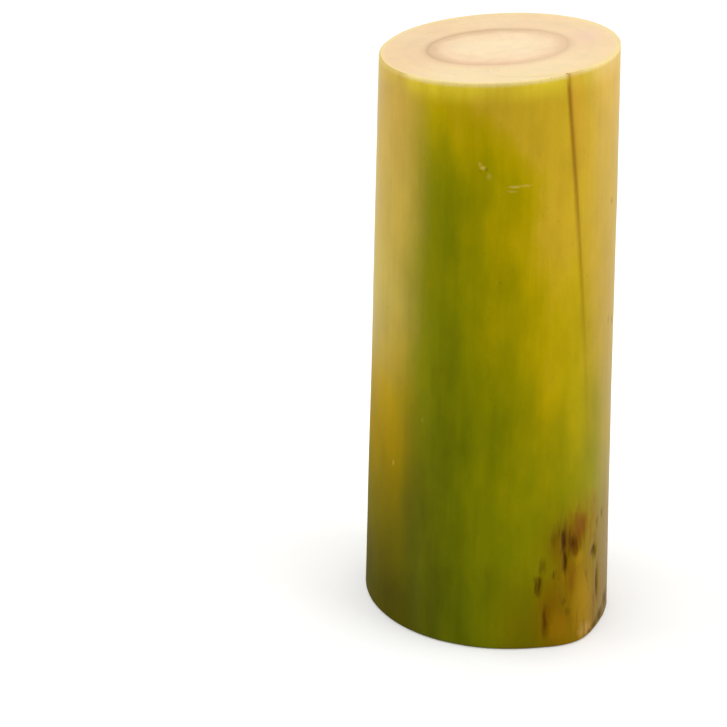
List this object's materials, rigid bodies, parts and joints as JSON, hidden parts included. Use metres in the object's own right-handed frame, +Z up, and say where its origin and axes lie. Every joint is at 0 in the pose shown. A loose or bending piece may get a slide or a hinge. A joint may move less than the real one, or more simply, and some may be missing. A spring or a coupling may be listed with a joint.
{
  "type": "banana stem",
  "caption": "Cut length of banana stem standing on end: a round core wrapped by overlapping leaf sheaths, with a seam down its skin and a slightly sloping upper cut.",
  "frame": {"origin": "on the stem's axis, on the flat lower cut that it stands on", "axes": "+Z up the stem, towards the upper cut; +X towards the high side of the upper cut; -Y towards the side on which the skin's seam shows"},
  "size_m": [0.0855, 0.0804, 0.2023],
  "materials": {
    "outer_sheath": "waxy satin skin, green to golden tan, pale moist flesh where cut",
    "inner_sheath": "moist pale cream flesh, matt where cut",
    "core": "moist pale cream flesh, browned at its rim"
  },
  "bodies": {
    "root": {"outer_sheath": "outer_sheath", "inner_sheath": "inner_sheath", "core": "core"}
  },
  "joints": []
}
